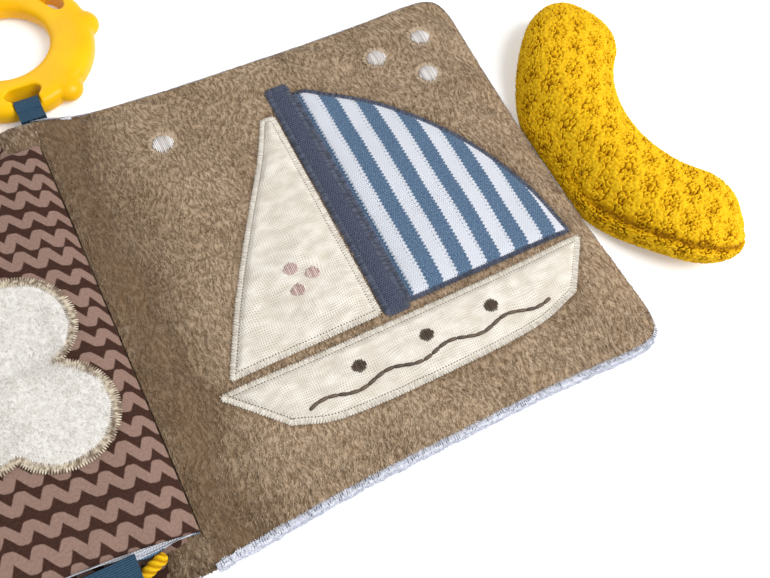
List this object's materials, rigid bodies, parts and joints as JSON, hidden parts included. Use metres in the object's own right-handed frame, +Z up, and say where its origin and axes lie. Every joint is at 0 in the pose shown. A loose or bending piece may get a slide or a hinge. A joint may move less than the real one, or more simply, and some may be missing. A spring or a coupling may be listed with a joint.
{
  "type": "crinkle cloth book",
  "caption": "Padded cloth baby book lying open, with printed and plush pages, a sewn boat picture, a stuffed knit crescent, a tape tab, a cord and a teething ring.",
  "frame": {"origin": "on the table plane, under the middle of the spine", "axes": "+X right across the open pages, +Y along the spine towards the top of the pages, +Z up from the table"},
  "size_m": [0.4197, 0.3037, 0.0377],
  "materials": {
    "brown_plush": "short-pile plush",
    "striped_jersey": "knitted jersey",
    "cream_muslin": "crinkled muslin",
    "navy_band": "ribbed knit",
    "printed_cotton": "woven print",
    "cloud_fleece": "fleece",
    "petrol_tape": "ribbed tape",
    "yellow_knit": "openwork knit",
    "yellow_rubber": "satin",
    "white_thread": "satin stitch",
    "white_wadding": "loose fibre",
    "clear_foil": "thin film"
  },
  "bodies": {
    "back_cover": {"back_cover_plush": "brown_plush", "back_cover_jersey": "striped_jersey", "back_cover_wadding": "white_wadding", "back_cover_crinkle_foil": "clear_foil", "spine_roll": "brown_plush", "spine_jersey": "striped_jersey", "boat_mainsail": "striped_jersey", "boat_jib": "cream_muslin", "boat_mast": "navy_band", "boat_hull": "cream_muslin", "embroidered_dot_1": "white_thread", "embroidered_dot_2": "white_thread", "embroidered_dot_3": "white_thread", "embroidered_dot_4": "white_thread"},
    "front_cover": {"front_cover_print": "printed_cotton", "front_cover_jersey": "striped_jersey", "front_cover_wadding": "white_wadding", "front_cover_crinkle_foil": "clear_foil", "yellow_cord": "yellow_knit", "cord_knot": "yellow_knit"},
    "middle_leaf": {"middle_leaf_print": "printed_cotton", "middle_leaf_jersey": "striped_jersey", "middle_leaf_wadding": "white_wadding", "middle_leaf_crinkle_foil": "clear_foil", "cloud_patch": "cloud_fleece", "tape_tab": "petrol_tape"},
    "crescent": {"crescent_upper_knit": "yellow_knit", "crescent_lower_knit": "yellow_knit", "crescent_filling": "white_wadding"},
    "tape_loop": {"ring_tape_loop": "petrol_tape"},
    "ring": {"teether_ring": "yellow_rubber"}
  },
  "joints": [
    {"name": "front_cover_turn", "type": "hinge", "parent": "back_cover", "child": "front_cover", "pos_m": [0, 0, 0.011], "axis": [0, 1, 0], "range_deg": [0, 160]},
    {"name": "middle_leaf_turn", "type": "hinge", "parent": "front_cover", "child": "middle_leaf", "pos_m": [0, 0, 0.011], "axis": [0, 1, 0], "range_deg": [0, 160]},
    {"name": "crescent_flap", "type": "hinge", "parent": "back_cover", "child": "crescent", "pos_m": [0.18088, -0.0075, 0.00575], "axis": [0, -1, 0], "range_deg": [0, 35]},
    {"name": "loop_flap", "type": "hinge", "parent": "back_cover", "child": "tape_loop", "pos_m": [0.004, 0.09215, 0.0088], "axis": [1, 0, 0], "range_deg": [0, 45]},
    {"name": "ring_swing", "type": "hinge", "parent": "tape_loop", "child": "ring", "pos_m": [0.004, 0.10025, 0.005], "axis": [1, 0, 0], "range_deg": [0, 45]}
  ]
}
